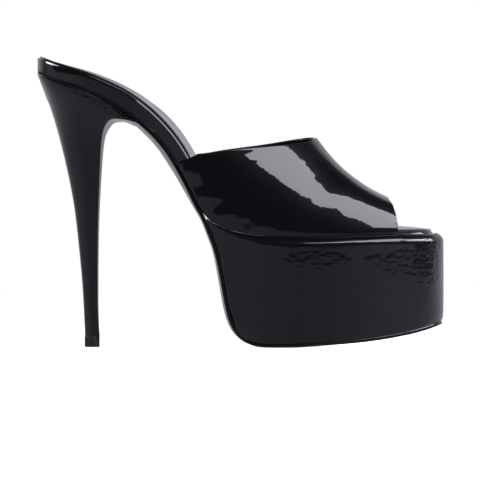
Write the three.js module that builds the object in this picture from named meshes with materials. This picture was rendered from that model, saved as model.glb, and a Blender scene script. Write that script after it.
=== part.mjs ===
// Platform mule, right shoe: +X to the toe, -Y lateral, +Z up, millimetres.
// The shoe is drawn with x = 0 at the back of the seat and z = 0 on the floor. The group at the end
// is shifted so that its origin is the middle of the floor rectangle that the shoe covers.
import * as THREE from 'three';
import { mergeVertices } from 'three/addons/utils/BufferGeometryUtils.js';

// Driving dimensions
const FOOT_RUN = 213.2; // plan length of the insole board, seat to toe
const FOOT_WIDTH = 72.4; // greatest width of the insole board, at the ball
const SEAT_RISE = 149.2; // floor to the underside of the insole board at the back of the seat
const PLATFORM_RISE = 59.4; // floor to the underside of the insole board at the ball
const VAMP_HEIGHT = 53; // insole underside to the front peak of the topline
const TOE_SPRING = 12.8; // rise of the sole at the toe
const LEDGE = 4; // how far the platform stands out past the upper
const UPPER_WALL = 1.5; // patent leather with its lining
const CLEARANCE = 0.3; // between pieces that meet
const INSOLE_SEAT = 6.9; // thickness of the covered board from the seat to the waist
const INSOLE_TOE = 1.8; // thickness of the board under the forefoot
const INSOLE_EDGE = 1.1; // rounding of the board's top edge
const INSOLE_TUCK = 0.6; // how far the foot of the thick board's side is tucked in
const MEDIAL_RAISE = 2.6; // how much higher the board's medial edge stands at the arch
const SOCK = 0.9; // thickness of the sock lining
const SOCK_INSET = 1.1; // from the edge of the board to the edge of the sock
const SOLE = 1.9; // thickness of the sole at its edge, under the platform
const SOLE_CROWN = 2.7; // how much thicker the sole is in the middle of the waist
const SOLE_SETBACK = 0.35; // how far the sole's edge stays behind the surface above it
const TOE_SETBACK = 0.5; // how much further it stays behind at the toe
const PLATFORM_CHAMFER = 0.7; // lower edge of the platform
const HEEL_ROUND = 28; // plan length of the rounded seat
const TOE_ROUND = 54; // plan length of the rounded toe
const TIP_HEIGHT = 5.7; // height of the heel tip
const TIP_LENGTH = 8.2; // heel tip, back to front
const TIP_WIDTH = 8.6; // heel tip, side to side
const HEEL_SEAT_WIDTH = 51.6; // heel at its widest, under the seat
const HEEL_LIP = 54.2; // plan length of the heel's top, seat to lip

// Sole under the insole board, seen from the side: x is a share of FOOT_RUN, rise a share of the
// height between the platform's top and the seat.
const BED = [
  { x: 0, rise: 1 },
  { x: 0.029, rise: 0.968 },
  { x: 0.062, rise: 0.939 },
  { x: 0.107, rise: 0.903 },
  { x: 0.158, rise: 0.853 },
  { x: 0.2205, rise: 0.776 },
  { x: 0.254, rise: 0.719 },
  { x: 0.286, rise: 0.653 },
  { x: 0.3265, rise: 0.547 },
  { x: 0.359, rise: 0.429 },
  { x: 0.387, rise: 0.304 },
  { x: 0.41, rise: 0.189 },
  { x: 0.4235, rise: 0.133 },
  { x: 0.438, rise: 0.0965 },
  { x: 0.457, rise: 0.0715 },
  { x: 0.48, rise: 0.0495 },
  { x: 0.5136, rise: 0.0255 },
  { x: 0.579, rise: 0.006 },
  { x: 0.678, rise: 0 },
  { x: 0.795, rise: 0.009 },
  { x: 0.912, rise: 0.0175 },
  { x: 1.03, rise: 0.02 },
];

// Edge of the insole board in plan: centre and half are shares of FOOT_WIDTH, before the round ends.
const PLAN = [
  { x: 0, centre: 0, half: 0.366 },
  { x: 0.092, centre: 0, half: 0.368 },
  { x: 0.162, centre: 0, half: 0.372 },
  { x: 0.232, centre: -0.012, half: 0.35 },
  { x: 0.279, centre: -0.039, half: 0.333 },
  { x: 0.326, centre: -0.058, half: 0.341 },
  { x: 0.373, centre: -0.068, half: 0.366 },
  { x: 0.4245, centre: -0.07, half: 0.393 },
  { x: 0.4667, centre: -0.065, half: 0.417 },
  { x: 0.5136, centre: -0.054, half: 0.442 },
  { x: 0.5605, centre: -0.041, half: 0.467 },
  { x: 0.6074, centre: -0.03, half: 0.487 },
  { x: 0.6778, centre: -0.021, half: 0.5 },
  { x: 0.748, centre: -0.013, half: 0.496 },
  { x: 0.8185, centre: -0.002, half: 0.488 },
  { x: 0.889, centre: 0.014, half: 0.48 },
  { x: 0.959, centre: 0.04, half: 0.474 },
  { x: 1, centre: 0.06, half: 0.47 },
];
const SEAT_FULLNESS = 2.1; // exponent of the rounded seat
const TOE_FULLNESS = 2.3; // exponent of the rounded toe

// The platform's stand past the upper, as a share of LEDGE.
const LEDGE_GROWTH = [
  { x: 0.4245, ledge: 0.05 },
  { x: 0.4667, ledge: 0.4 },
  { x: 0.5136, ledge: 0.7 },
  { x: 0.5605, ledge: 0.92 },
  { x: 0.6074, ledge: 1 },
];
const PLATFORM_BACK = 0.4235; // x share where the sole leaves the insole board and turns down

// Inner face of the sole down the back of the platform: height is a share of the platform's back.
const PLATFORM_REAR = [
  { x: 0.4418, height: 0.855 },
  { x: 0.4578, height: 0.72 },
  { x: 0.4704, height: 0.542 },
  { x: 0.4822, height: 0.339 },
  { x: 0.4885, height: 0.2344 },
  { x: 0.4985, height: 0.145 },
  { x: 0.5113, height: 0.0865 },
  { x: 0.532, height: 0.0345 },
  { x: 0.5535, height: 0.0085 },
];

// Inner face of the sole under the platform: spring is a share of TOE_SPRING. Two rows at 0 give the
// flat spot that the forefoot stands on.
const PLATFORM_BOTTOM = [
  { x: 0.584, spring: 0 },
  { x: 0.64, spring: 0 },
  { x: 0.695, spring: 0.055 },
  { x: 0.7556, spring: 0.13 },
  { x: 0.8166, spring: 0.22 },
  { x: 0.8776, spring: 0.36 },
  { x: 0.938, spring: 0.55 },
  { x: 0.9686, spring: 0.68 },
  { x: 0.9967, spring: 0.83 },
  { x: 1.024, spring: 1 },
];

// Thickness of the sole along its own length: edge is a share of SOLE, crown a share of SOLE_CROWN.
const SOLE_BODY = [
  { run: 0, edge: 0.8, crown: 0 },
  { run: 0.11, edge: 0.95, crown: 0 },
  { run: 0.155, edge: 1.4, crown: 0.3 },
  { run: 0.19, edge: 1.35, crown: 0.42 },
  { run: 0.23, edge: 1.25, crown: 0.55 },
  { run: 0.3, edge: 1.13, crown: 0.85 },
  { run: 0.34, edge: 1.13, crown: 0.8 },
  { run: 0.38, edge: 1.13, crown: 0.45 },
  { run: 0.42, edge: 1.1, crown: 0.3 },
  { run: 0.52, edge: 1.1, crown: 0.42 },
  { run: 0.6, edge: 1.1, crown: 0.5 },
  { run: 0.64, edge: 1.05, crown: 0.3 },
  { run: 0.67, edge: 1, crown: 0 },
  { run: 1, edge: 1, crown: 0 },
];

// Thickness of the insole board: 1 is INSOLE_SEAT, 0 is INSOLE_TOE. Raise is a share of MEDIAL_RAISE
// and tuck a share of INSOLE_TUCK.
const BOARD_BODY = [
  { x: 0, body: 0.93, raise: 0, tuck: 1 },
  { x: 0.08, body: 1, raise: 0.1, tuck: 1 },
  { x: 0.2, body: 1.08, raise: 0.45, tuck: 1.2 },
  { x: 0.33, body: 1, raise: 1, tuck: 2.6 },
  { x: 0.41, body: 0.9, raise: 0.9, tuck: 3 },
  { x: 0.48, body: 0.35, raise: 0.4, tuck: 1.2 },
  { x: 0.55, body: 0, raise: 0.1, tuck: 0 },
  { x: 0.8, body: -0.1, raise: 0.7, tuck: 0 },
  { x: 0.9, body: -0.15, raise: 0.75, tuck: 0 },
  { x: 0.965, body: -0.17, raise: 0.35, tuck: 0 },
  { x: 1, body: -0.18, raise: 0, tuck: 0 },
];

// Height of the instep over the insole's underside, as a share of VAMP_HEIGHT. Behind the topline's
// peak it is the foot that the band was lasted over.
const RIDGE = [
  { x: 0.34, height: 1.42 },
  { x: 0.42, height: 1.6 },
  { x: 0.5136, height: 1.6 },
  { x: 0.5605, height: 1.5 },
  { x: 0.6074, height: 1.375 },
  { x: 0.6543, height: 1.215 },
  { x: 0.6848, height: 1.095 },
  { x: 0.706, height: 1 },
  { x: 0.7317, height: 0.86 },
  { x: 0.762, height: 0.718 },
  { x: 0.7927, height: 0.605 },
  { x: 0.823, height: 0.515 },
  { x: 0.853, height: 0.44 },
  { x: 0.8837, height: 0.377 },
  { x: 0.9123, height: 0.325 },
  { x: 0.94, height: 0.28 },
];

// Cross-section of the vamp: where its ridge stands, as a share of FOOT_WIDTH towards the medial
// side, the exponent of each flank's curve, and the share of its width that each flank leans in evenly.
const FLANKS = [
  { x: 0.34, ridge: 0.0, lateral: 3, medial: 3, lean: 0 },
  { x: 0.42, ridge: 0.03, lateral: 2.6, medial: 2.7, lean: 0 },
  { x: 0.5136, ridge: 0.05, lateral: 2.2, medial: 2.35, lean: 0 },
  { x: 0.6074, ridge: 0.065, lateral: 1.95, medial: 2.2, lean: 0 },
  { x: 0.706, ridge: 0.075, lateral: 1.9, medial: 2.15, lean: 0.02 },
  { x: 0.75, ridge: 0.08, lateral: 2.4, medial: 2.5, lean: 0.08 },
  { x: 0.8, ridge: 0.085, lateral: 3.3, medial: 3, lean: 0.15 },
  { x: 0.88, ridge: 0.1, lateral: 3.8, medial: 3.3, lean: 0.17 },
  { x: 0.94, ridge: 0.11, lateral: 3.6, medial: 3.3, lean: 0.17 },
];
const BAND_UPRIGHT = 2.4; // height over which the band stands upright against the board's edge

// Topline: height over the insole's underside on each flank, as a share of VAMP_HEIGHT.
const TOPLINE = [
  { x: 0.356, lateral: 0, medial: 0 },
  { x: 0.381, lateral: 0.215, medial: 0.225 },
  { x: 0.4128, lateral: 0.53, medial: 0.545 },
  { x: 0.438, lateral: 0.675, medial: 0.69 },
  { x: 0.4733, lateral: 0.772, medial: 0.788 },
  { x: 0.5253, lateral: 0.853, medial: 0.872 },
  { x: 0.6154, lateral: 0.92, medial: 0.958 },
  { x: 0.6684, lateral: 0.946, medial: 0.998 },
  { x: 0.6918, lateral: 0.966, medial: 1.008 },
  { x: 0.706, lateral: 1, medial: 1 },
  { x: 0.74, lateral: 1.2, medial: 1.2 },
];

// Edge of the toe opening: around is 0 at the lateral foot of the band and 1 at the medial foot.
const TOE_OPENING = [
  { around: 0, x: 0.9114 },
  { around: 0.08, x: 0.9095 },
  { around: 0.18, x: 0.902 },
  { around: 0.32, x: 0.892 },
  { around: 0.5, x: 0.8865 },
  { around: 0.68, x: 0.889 },
  { around: 0.85, x: 0.898 },
  { around: 1, x: 0.904 },
];

// Heel, tip to seat, by its side view: back and front are plan lengths as shares of HEEL_LIP, the
// heights are shares of the rise from the tip to the seat, and half and bulge are shares of
// HEEL_SEAT_WIDTH. Front is the edge of the breast, and bulge is how far its middle stands out past it.
const HEEL_SECTIONS = [
  { back: 0.4799, backHeight: 0, front: 0.6255, frontHeight: 0, half: 0.0825, bulge: 0.006 },
  { back: 0.4733, backHeight: 0.0558, front: 0.6143, frontHeight: 0.0558, half: 0.084, bulge: 0.008 },
  { back: 0.4593, backHeight: 0.1675, front: 0.6068, frontHeight: 0.1675, half: 0.09, bulge: 0.01 },
  { back: 0.415, backHeight: 0.3488, front: 0.6087, frontHeight: 0.3488, half: 0.108, bulge: 0.012 },
  { back: 0.3706, backHeight: 0.4884, front: 0.6162, frontHeight: 0.4884, half: 0.138, bulge: 0.016 },
  { back: 0.3006, backHeight: 0.6218, front: 0.6311, frontHeight: 0.6218, half: 0.186, bulge: 0.022 },
  { back: 0.2437, backHeight: 0.7124, front: 0.6386, frontHeight: 0.6899, half: 0.242, bulge: 0.028 },
  { back: 0.1882, backHeight: 0.7891, front: 0.6516, frontHeight: 0.7416, half: 0.31, bulge: 0.033 },
  { back: 0.1328, backHeight: 0.8552, front: 0.6731, frontHeight: 0.7772, half: 0.384, bulge: 0.037 },
  { back: 0.0831, backHeight: 0.9078, front: 0.7086, frontHeight: 0.8017, half: 0.438, bulge: 0.041 },
  { back: 0.0425, backHeight: 0.9483, front: 0.772, frontHeight: 0.8145, half: 0.476, bulge: 0.043 },
  { back: 0.0168, backHeight: 0.974, front: 0.8764, frontHeight: 0.8153, half: 0.494, bulge: 0.046 },
  { back: 0.0084, backHeight: 0.9823, front: 0.9945, frontHeight: 0.7985, half: 0.496, bulge: 0.05 },
];
const HEEL_BACK_ROUND = 0.55; // share of a heel section's depth taken by its rounded back
const HEEL_TOP_BLEND = 0.72; // share of the heel's height where it starts to take the seat's outline

// Thickness stands nearly upright at the back of the seat, and square to the board from the arch on.
const UPRIGHT = [
  { x: 0, lean: 0.25 },
  { x: 0.22, lean: 1 },
];

// The sole follows the board's edge to the waist, then reaches out to the upper's outer face.
const SOLE_REACH = [
  { x: 0.36, out: 0 },
  { x: 0.4245, out: 1 },
];
const SOLE_TOE_START = 0.8; // x share where the sole's edge starts to draw back to the toe
const SOLE_SPANS = [1, 0.7, 0.3]; // shares of the half width where the sole's section has points
const END_EASE = 0.55; // how strongly stations gather at the sole's ends
const PLATFORM_START = 0.4335; // x share of the thin upper end of the platform's back
const PLATFORM_EASE = 1.5; // how strongly stations gather at the platform's toe
const UPPER_EASE = 1.2; // how strongly the band's stations gather at its topline
const PLATFORM_LIFT = 1.6; // shares of CLEARANCE that the platform and the heel keep from the sole
const HEEL_LIFT = 1.5;
const BAND_LIFT = 0.8; // share of CLEARANCE that the band stands higher than the board's underside
const ROLL_FULLNESS = 1.55; // exponent of the rolled edge: 2 is round, less is flatter
const ROLL_LIMIT = 0.4; // the rolled edge and the chamfer stay within these shares of the height
const CHAMFER_LIMIT = 0.25;
const HEEL_SPINE = { back: 0.2, front: 0.8 }; // stretch of the seat that the heel's top closes on
const HEEL_TOP_SPANS = [0.8, 0.55, 0.3, 0]; // rings that close the heel's top
// Mesh resolution
const UPPER_AROUND = 36;
const UPPER_ALONG = 20;
const FLANK_STEPS = 48;
const SOLE_STATIONS = 96;
const BOARD_STATIONS = 76;
const PLATFORM_STATIONS = 60;
const WALL_ROWS = [0.03, 0.5, 0.97]; // shares of the platform's wall where its section has points
const ROLL_STEPS = 4;
const HEEL_RINGS = 26;
const HEEL_SIDE_STEPS = 12;
const HEEL_STEP_EASE = 1.3; // how strongly a section's points gather at its rounded back
const BREAST_STEPS = 6;
const PATH_STEPS = 480;
const KNOT_EVERY = 12;
const SOLVE_STEPS = 40;

const { clamp, lerp, smoothstep } = THREE.MathUtils;
const evenly = (count) => Array.from({ length: count + 1 }, (_, i) => i / count);

// Shares from 0 to 1 that gather towards both ends, where a piece is rounded
const gathered = (count) =>
  evenly(count).map((t) => lerp(t, 0.5 - 0.5 * Math.cos(Math.PI * t), END_EASE));

// A smooth curve through one column of a table, without overshoot, so that two equal rows give a
// straight stretch between them. It runs on straight past the first and last row.
function curve(rows, key, value) {
  const at = rows.map((row) => row[key]);
  const of = rows.map((row) => row[value]);
  const last = at.length - 1;
  const secant = at.slice(1).map((end, i) => (of[i + 1] - of[i]) / (end - at[i]));
  const slope = at.map((_, i) => {
    if (i === 0) return secant[0];
    if (i === last) return secant[last - 1];
    if (secant[i - 1] * secant[i] <= 0) return 0;
    const before = at[i] - at[i - 1];
    const after = at[i + 1] - at[i];
    const total = 3 * (before + after);
    return total / ((2 * after + before) / secant[i - 1] + (after + 2 * before) / secant[i]);
  });
  return (where) => {
    if (where <= at[0]) return of[0] + slope[0] * (where - at[0]);
    if (where >= at[last]) return of[last] + slope[last] * (where - at[last]);
    const i = at.findIndex((end, k) => k > 0 && where <= end) - 1;
    const width = at[i + 1] - at[i];
    const t = (where - at[i]) / width;
    const rest = 1 - t;
    const ends = of[i] * rest * rest * (1 + 2 * t) + of[i + 1] * t * t * (1 + 2 * rest);
    return ends + width * t * rest * (slope[i] * rest - slope[i + 1] * t);
  };
}

// The same, held at its end values past the first and last row
function heldCurve(rows, key, value) {
  const free = curve(rows, key, value);
  return (where) => free(clamp(where, rows[0][key], rows[rows.length - 1][key]));
}

// A side-view line of [x, z] points whose x always grows. Its normal points up under the foot and
// forward down the back of the platform. At the seat it stands nearly upright.
const uprightness = heldCurve(UPRIGHT, 'x', 'lean');

class SideLine {
  constructor(points) {
    this.points = points;
    this.run = [0];
    for (let i = 1; i < points.length; i += 1) {
      const [a, b] = [points[i - 1], points[i]];
      this.run.push(this.run[i - 1] + Math.hypot(b[0] - a[0], b[1] - a[1]));
    }
    this.length = this.run[points.length - 1];
    this.end = points[points.length - 1][0];
  }

  normalAt(i) {
    const before = this.points[Math.max(i - 1, 0)];
    const after = this.points[Math.min(i + 1, this.points.length - 1)];
    const size = Math.hypot(after[0] - before[0], after[1] - before[1]);
    return [(before[1] - after[1]) / size, (after[0] - before[0]) / size];
  }

  // The point at a value of one measure, which is x itself or the run along the line
  find(value, measure) {
    let low = 0;
    let high = this.points.length - 1;
    while (high - low > 1) {
      const middle = Math.floor((low + high) / 2);
      if (measure(middle) <= value) low = middle;
      else high = middle;
    }
    const t = (value - measure(low)) / (measure(high) - measure(low));
    const held = clamp(t, 0, 1);
    const [a, b] = [this.points[low], this.points[high]];
    const [from, to] = [this.normalAt(low), this.normalAt(high)];
    const x = lerp(a[0], b[0], t);
    const lean = uprightness(x / FOOT_RUN);
    const normal = [lerp(from[0], to[0], held) * lean, lerp(1, lerp(from[1], to[1], held), lean)];
    const size = Math.hypot(...normal);
    return {
      x,
      z: lerp(a[1], b[1], t),
      normal: [normal[0] / size, normal[1] / size],
      share: lerp(this.run[low], this.run[high], t) / this.length,
    };
  }

  atX(x) {
    return this.find(x, (i) => this.points[i][0]);
  }

  atRun(run) {
    return this.find(run, (i) => this.run[i]);
  }

  lifted(lift) {
    return new SideLine(
      this.points.map(([x]) => {
        const here = this.atX(x);
        const distance = lift(here);
        return [x + here.normal[0] * distance, here.z + here.normal[1] * distance];
      }),
    );
  }
}

// Underside of the insole board
const bedRise = curve(BED, 'x', 'rise');
const bedHeight = (x) => PLATFORM_RISE + bedRise(x / FOOT_RUN) * (SEAT_RISE - PLATFORM_RISE);

function bedLine(to) {
  return new SideLine(evenly(PATH_STEPS).map((t) => [t * to, bedHeight(t * to)]));
}

// Inner face of the sole from the seat to the toe, through the rows of its three stretches
function innerSoleLine() {
  const underBoard = bedLine(PLATFORM_BACK * FOOT_RUN).lifted(() => -CLEARANCE).points;
  const back = underBoard[underBoard.length - 1][1] - SOLE;
  const knots = [
    ...underBoard.filter((_, i) => i % KNOT_EVERY === 0),
    ...PLATFORM_REAR.map((row) => [row.x * FOOT_RUN, SOLE + row.height * back]),
    ...PLATFORM_BOTTOM.map((row) => [row.x * FOOT_RUN, SOLE + row.spring * TOE_SPRING]),
  ];
  const chord = new SideLine(knots);
  const rows = knots.map(([x, z], i) => ({ run: chord.run[i], x, z }));
  const alongX = curve(rows, 'run', 'x');
  const alongZ = curve(rows, 'run', 'z');
  return new SideLine(
    evenly(PATH_STEPS).map((t) => [alongX(t * chord.length), alongZ(t * chord.length)]),
  );
}

// Edge of the insole board in plan, on the lateral (-1) or medial (+1) side
const planCentre = heldCurve(PLAN, 'x', 'centre');
const planHalf = heldCurve(PLAN, 'x', 'half');

function roundEnd(distance, reach, fullness) {
  const share = 1 - clamp(distance / reach, 0, 1);
  return (1 - share ** fullness) ** (1 / fullness);
}

function footEdge(x, side) {
  const share = x / FOOT_RUN;
  const seat = roundEnd(x, HEEL_ROUND, SEAT_FULLNESS);
  const toe = roundEnd(FOOT_RUN - x, TOE_ROUND, TOE_FULLNESS);
  return FOOT_WIDTH * (planCentre(share) + side * planHalf(share) * seat * toe);
}

// Outward direction of that edge in plan
const SLOPE_STEP = 0.02;

function footNormal(x, side) {
  if (x <= SLOPE_STEP) return [-1, 0];
  if (x >= FOOT_RUN - SLOPE_STEP) return [1, 0];
  const rise = footEdge(x + SLOPE_STEP, side) - footEdge(x - SLOPE_STEP, side);
  const size = Math.hypot(rise, 2 * SLOPE_STEP);
  return [(-rise * side) / size, (2 * SLOPE_STEP * side) / size];
}

// The point a distance outside the board's edge, opposite the edge's own point at x
function outside(x, side, distance) {
  const normal = footNormal(x, side);
  return [x + distance * normal[0], footEdge(x, side) + distance * normal[1]];
}

const lastedOut = UPPER_WALL + CLEARANCE; // from the board's edge to the upper's outer face
const ledgeShare = heldCurve(LEDGE_GROWTH, 'x', 'ledge');
const ledgeAt = (x) => LEDGE * ledgeShare(x / FOOT_RUN);

// One closed geometry: shared points merged, triangles without area dropped, faces pointing out
const MERGE_DISTANCE = 1e-4;

function body(positions, index) {
  const loose = new THREE.BufferGeometry();
  loose.setAttribute('position', new THREE.Float32BufferAttribute(positions, 3));
  loose.setIndex(index);
  const merged = mergeVertices(loose, MERGE_DISTANCE);
  const points = merged.getAttribute('position');
  const corner = (i) => new THREE.Vector3().fromBufferAttribute(points, i);
  const faces = [];
  let volume = 0;
  for (let i = 0; i < merged.index.count; i += 3) {
    const face = [0, 1, 2].map((k) => merged.index.getX(i + k));
    if (new Set(face).size === 3) {
      const [a, b, c] = face.map(corner);
      faces.push(face);
      volume += a.dot(b.cross(c));
    }
  }
  merged.setIndex(faces.flatMap((face) => (volume < 0 ? face.reverse() : face)));
  merged.computeVertexNormals();
  return merged;
}

// A closed body from rings. Point i of a ring faces point (count - 1 - i) across the shoe, and the
// end rings are closed by strips between facing points. An end that closes to a line needs no strips:
// they have no area and are dropped.
function skin(rings) {
  const count = rings[0].length;
  const index = [];
  const quad = (a, b, c, d) => index.push(a, b, c, a, c, d);
  for (let start = 0; start < (rings.length - 1) * count; start += count) {
    for (let i = 0; i < count; i += 1) {
      const next = (i + 1) % count;
      quad(start + i, start + count + i, start + count + next, start + next);
    }
  }
  const lastStart = (rings.length - 1) * count;
  for (let i = 0; i < Math.floor((count - 1) / 2); i += 1) {
    quad(i, i + 1, count - 2 - i, count - 1 - i);
    quad(lastStart + count - 1 - i, lastStart + count - 2 - i, lastStart + i + 1, lastStart + i);
  }
  return body(rings.flat(2), index);
}

// One point of a body along a side line: out is its distance outside the board's edge in plan, lift
// its distance from the line, and span its share of the half width.
function layerPoint(line, x, side, layer) {
  const out = layer.out ? layer.out(x) : 0;
  const [planX, edgeY] = outside(x, side, out);
  const [, otherY] = outside(x, -side, out);
  const here = line.atX(planX);
  const lift = layer.lift(here, side);
  return [
    here.x + here.normal[0] * lift,
    lerp((edgeY + otherY) / 2, edgeY, layer.span ?? 1),
    here.z + here.normal[1] * lift,
  ];
}

function slab(line, feet, layers) {
  return skin(
    feet.map((x) => [
      ...layers.map((layer) => layerPoint(line, x, -1, layer)),
      ...[...layers].reverse().map((layer) => layerPoint(line, x, 1, layer)),
    ]),
  );
}

// Insole board and sock
const EDGE_LIMIT = 0.6; // the rounding of its edge stays within this share of the board's thickness
const boardShare = heldCurve(BOARD_BODY, 'x', 'body');
const raiseShare = heldCurve(BOARD_BODY, 'x', 'raise');
const tuckShare = heldCurve(BOARD_BODY, 'x', 'tuck');

function boardTop({ x }, side) {
  const raise = side > 0 ? MEDIAL_RAISE * raiseShare(x / FOOT_RUN) : 0;
  return lerp(INSOLE_TOE, INSOLE_SEAT, boardShare(x / FOOT_RUN)) + raise;
}

const boardLine = bedLine(FOOT_RUN);
const boardFeet = gathered(BOARD_STATIONS).map((t) => boardLine.atRun(boardLine.length * t).x);

function insole() {
  const cut = 1 - Math.SQRT1_2;
  const round = (here, side) => Math.min(INSOLE_EDGE, boardTop(here, side) * EDGE_LIMIT);
  const tuck = (x) => -INSOLE_TUCK * tuckShare(x / FOOT_RUN);
  return slab(boardLine, boardFeet, [
    { out: tuck, lift: () => 0 },
    { lift: (here, side) => boardTop(here, side) - round(here, side) },
    { out: () => -cut * INSOLE_EDGE, lift: (here, side) => boardTop(here, side) - cut * round(here, side) },
    { out: () => -INSOLE_EDGE, lift: boardTop },
  ]);
}

function sock() {
  const under = (here, side) => boardTop(here, side) + CLEARANCE;
  return slab(boardLine, boardFeet, [
    { out: () => -SOCK_INSET, lift: under },
    { out: () => -SOCK_INSET, lift: (here, side) => under(here, side) + SOCK / 2 },
    { out: () => -SOCK_INSET - SOCK / 2, lift: (here, side) => under(here, side) + SOCK },
  ]);
}

// Sole
const soleLine = innerSoleLine();
const soleEdge = heldCurve(SOLE_BODY, 'run', 'edge');
const soleCrown = heldCurve(SOLE_BODY, 'run', 'crown');
const soleReach = heldCurve(SOLE_REACH, 'x', 'out');

function soleOut(x) {
  const ledge = x > PLATFORM_BACK * FOOT_RUN ? ledgeAt(x) : 0;
  const toe = TOE_SETBACK * smoothstep(x / FOOT_RUN, SOLE_TOE_START, 1);
  return soleReach(x / FOOT_RUN) * (lastedOut + ledge) - SOLE_SETBACK - toe;
}

function soleThickness(share, span) {
  return SOLE * soleEdge(share) + SOLE_CROWN * soleCrown(share) * (1 - span * span);
}

const soleFeet = gathered(SOLE_STATIONS).map(
  (t) => (soleLine.atRun(soleLine.length * t).x * FOOT_RUN) / soleLine.end,
);

function outsole() {
  const under = (span) => ({ out: soleOut, span, lift: ({ share }) => -soleThickness(share, span) });
  return slab(soleLine, soleFeet, [{ out: soleOut, lift: () => 0 }, ...SOLE_SPANS.map(under)]);
}

// Platform: its top follows the board and its back and bottom follow the sole. Each ring joins a
// station of the one to a station of the other.
const platformOut = (x) => lastedOut + ledgeAt(x);
const platformTop = bedLine(FOOT_RUN + platformOut(FOOT_RUN));

function platformStation(line, t) {
  const start = line.atX(PLATFORM_START * line.end).share;
  const run = line.length * lerp(start, 1, 1 - (1 - t) ** PLATFORM_EASE);
  return (line.atRun(run).x * FOOT_RUN) / line.end;
}

function platformSide(t, side) {
  const above = platformStation(platformTop, t);
  const below = platformStation(soleLine, t);
  const height = platformTop.atX(above).z - soleLine.atX(below).z;
  const roll = Math.min(ledgeAt(above), height * ROLL_LIMIT);
  const chamfer = Math.min(PLATFORM_CHAMFER, height * CHAMFER_LIMIT);
  const lower = [
    { out: (x) => platformOut(x) - chamfer, lift: () => CLEARANCE * PLATFORM_LIFT },
    { out: platformOut, lift: () => CLEARANCE * PLATFORM_LIFT + chamfer },
  ].map((layer) => layerPoint(soleLine, below, side, layer));
  const upper = evenly(ROLL_STEPS).map((share) => {
    const angle = (share * Math.PI) / 2;
    const power = 2 / ROLL_FULLNESS;
    return layerPoint(platformTop, above, side, {
      out: (x) => platformOut(x) - roll * (1 - Math.abs(Math.cos(angle)) ** power),
      lift: () => -CLEARANCE - roll * (1 - Math.sin(angle) ** power),
    });
  });
  const wall = WALL_ROWS.map((share) => {
    const x = lerp(below, above, share);
    return [...outside(x, side, platformOut(x)), lerp(lower[1][2], upper[0][2], share)];
  });
  return [...lower, ...wall, ...upper];
}

function platform() {
  return skin(
    evenly(PLATFORM_STATIONS).map((t) => [
      ...platformSide(t, -1),
      ...platformSide(t, 1).reverse(),
    ]),
  );
}

// Upper: each flank is a curve from the board's edge to the ridge, measured by its own length
const ridgeHeight = curve(RIDGE, 'x', 'height');
const ridgeSide = heldCurve(FLANKS, 'x', 'ridge');
const flankOf = (side, lateral, medial) => (side < 0 ? lateral : medial);
const lateralFullness = heldCurve(FLANKS, 'x', 'lateral');
const medialFullness = heldCurve(FLANKS, 'x', 'medial');
const flankLean = heldCurve(FLANKS, 'x', 'lean');
const lateralTopline = curve(TOPLINE, 'x', 'lateral');
const medialTopline = curve(TOPLINE, 'x', 'medial');
const toeOpening = heldCurve(TOE_OPENING, 'around', 'x');

// Point of the foot's surface: around runs from 0 at the lateral foot of the band, over the ridge at
// 0.5, to 1 at the medial foot. Height is over the board's underside.
function lastPoint(x, around) {
  const side = around < 0.5 ? -1 : 1;
  const share = x / FOOT_RUN;
  const foot = footEdge(x, side) + (side * lastedOut) / Math.abs(footNormal(x, side)[1]);
  const ridge = FOOT_WIDTH * ridgeSide(share);
  const power = 2 / flankOf(side, lateralFullness, medialFullness)(share);
  const peak = VAMP_HEIGHT * ridgeHeight(share);
  const points = evenly(FLANK_STEPS).map((t) => {
    const angle = (t * Math.PI) / 2;
    const outward = t === 1 ? 0 : Math.cos(angle) ** power;
    const rise = Math.sin(angle) ** power;
    const across = lerp(outward, 1 - rise, flankLean(share));
    return [lerp(ridge, foot, across), lerp(BAND_UPRIGHT, peak, rise)];
  });
  points.unshift([foot, 0]);
  const runs = [0];
  for (let i = 1; i < points.length; i += 1) {
    const [a, b] = [points[i - 1], points[i]];
    runs.push(runs[i - 1] + Math.hypot(b[0] - a[0], b[1] - a[1]));
  }
  const wanted = runs[runs.length - 1] * (side < 0 ? around : 1 - around) * 2;
  const high = clamp(runs.findIndex((run) => run >= wanted), 1, runs.length - 1);
  const t = clamp((wanted - runs[high - 1]) / (runs[high] - runs[high - 1]), 0, 1);
  return {
    y: lerp(points[high - 1][0], points[high][0], t),
    height: lerp(points[high - 1][1], points[high][1], t),
  };
}

// Where the topline crosses one line of the foot's surface
const TOPLINE_MARGIN = 0.01; // the search starts this far behind the topline, as a share of FOOT_RUN

function toplineX(around) {
  const wanted = around < 0.5 ? lateralTopline : medialTopline;
  let low = TOPLINE[0].x - TOPLINE_MARGIN;
  let high = TOPLINE[TOPLINE.length - 1].x;
  for (let i = 0; i < SOLVE_STEPS; i += 1) {
    const middle = (low + high) / 2;
    if (lastPoint(middle * FOOT_RUN, around).height > wanted(middle) * VAMP_HEIGHT) low = middle;
    else high = middle;
  }
  return low * FOOT_RUN;
}

// The band's lower edge keeps its clearance over the steep part of the sole too
const bandFoot = (x) => bedHeight(x) + CLEARANCE * BAND_LIFT;

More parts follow.
